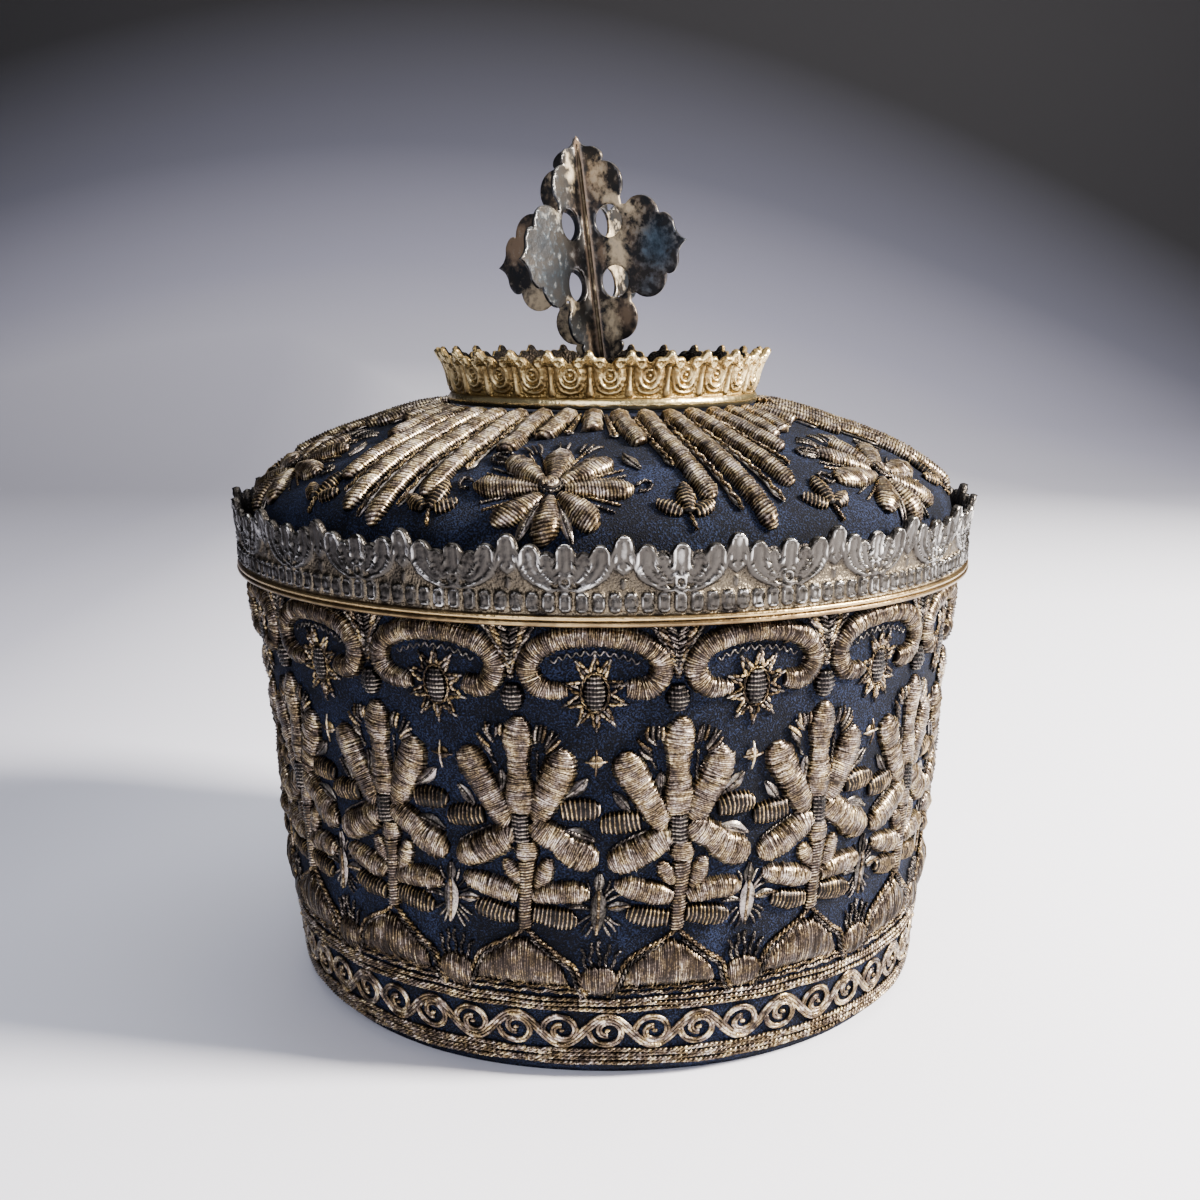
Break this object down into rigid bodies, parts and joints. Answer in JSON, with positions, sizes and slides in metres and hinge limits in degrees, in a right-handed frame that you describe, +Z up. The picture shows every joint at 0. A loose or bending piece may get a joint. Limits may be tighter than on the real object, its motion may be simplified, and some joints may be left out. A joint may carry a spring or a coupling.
{
  "type": "liturgical crown",
  "caption": "Round embroidered crown with a low dome, a cast silver palmette band at its shoulder, a small gilt coronet and an upright winged cross; worn on the head by a priest or bishop.",
  "frame": {"origin": "middle of the hem, in the plane the crown stands on", "axes": "+Z up through the dome to the cross; -Y is the front; +X is to the right seen from the front"},
  "size_m": [0.2343, 0.2341, 0.2632],
  "materials": {
    "cap_cloth": "dark blue wool cloth, matte with a short worn nap",
    "gold_embroidery": "aged silver-gilt thread laid over padding, satin with bright edges",
    "band_silver": "cast and chased silver, dark in the hollows, worn bright on the high points, gilt in patches",
    "gilt_silver": "cast silver-gilt, bright on the high points",
    "cross_silver": "sheet silver, tarnished grey with tan solder stains and a blue-green bloom"
  },
  "bodies": {
    "root": {"cap_wall": "cap_cloth", "cap_dome": "cap_cloth", "upper_hem_cord": "gold_embroidery", "ornament_band": "gold_embroidery", "lower_hem_cord": "gold_embroidery", "tree_01": "gold_embroidery", "tree_02": "gold_embroidery", "tree_03": "gold_embroidery", "tree_04": "gold_embroidery", "tree_05": "gold_embroidery", "tree_06": "gold_embroidery", "tree_07": "gold_embroidery", "tree_08": "gold_embroidery", "tree_09": "gold_embroidery", "tree_10": "gold_embroidery", "tree_11": "gold_embroidery", "tree_12": "gold_embroidery", "tree_13": "gold_embroidery", "tree_14": "gold_embroidery", "tree_15": "gold_embroidery", "tree_16": "gold_embroidery", "arch_01": "gold_embroidery", "arch_02": "gold_embroidery", "arch_03": "gold_embroidery", "arch_04": "gold_embroidery", "arch_05": "gold_embroidery", "arch_06": "gold_embroidery", "arch_07": "gold_embroidery", "arch_08": "gold_embroidery", "arch_09": "gold_embroidery", "arch_10": "gold_embroidery", "arch_11": "gold_embroidery", "arch_12": "gold_embroidery", "arch_13": "gold_embroidery", "arch_14": "gold_embroidery", "arch_15": "gold_embroidery", "arch_16": "gold_embroidery", "flower_1": "gold_embroidery", "flower_2": "gold_embroidery", "flower_3": "gold_embroidery", "flower_4": "gold_embroidery", "flower_5": "gold_embroidery", "flower_6": "gold_embroidery", "rib_bundle_1": "gold_embroidery", "rib_bundle_2": "gold_embroidery", "rib_bundle_3": "gold_embroidery", "rib_bundle_4": "gold_embroidery", "rib_bundle_5": "gold_embroidery", "rib_bundle_6": "gold_embroidery", "shoulder_band": "band_silver", "top_coronet": "gilt_silver", "finial_cross": "cross_silver"}
  },
  "joints": []
}
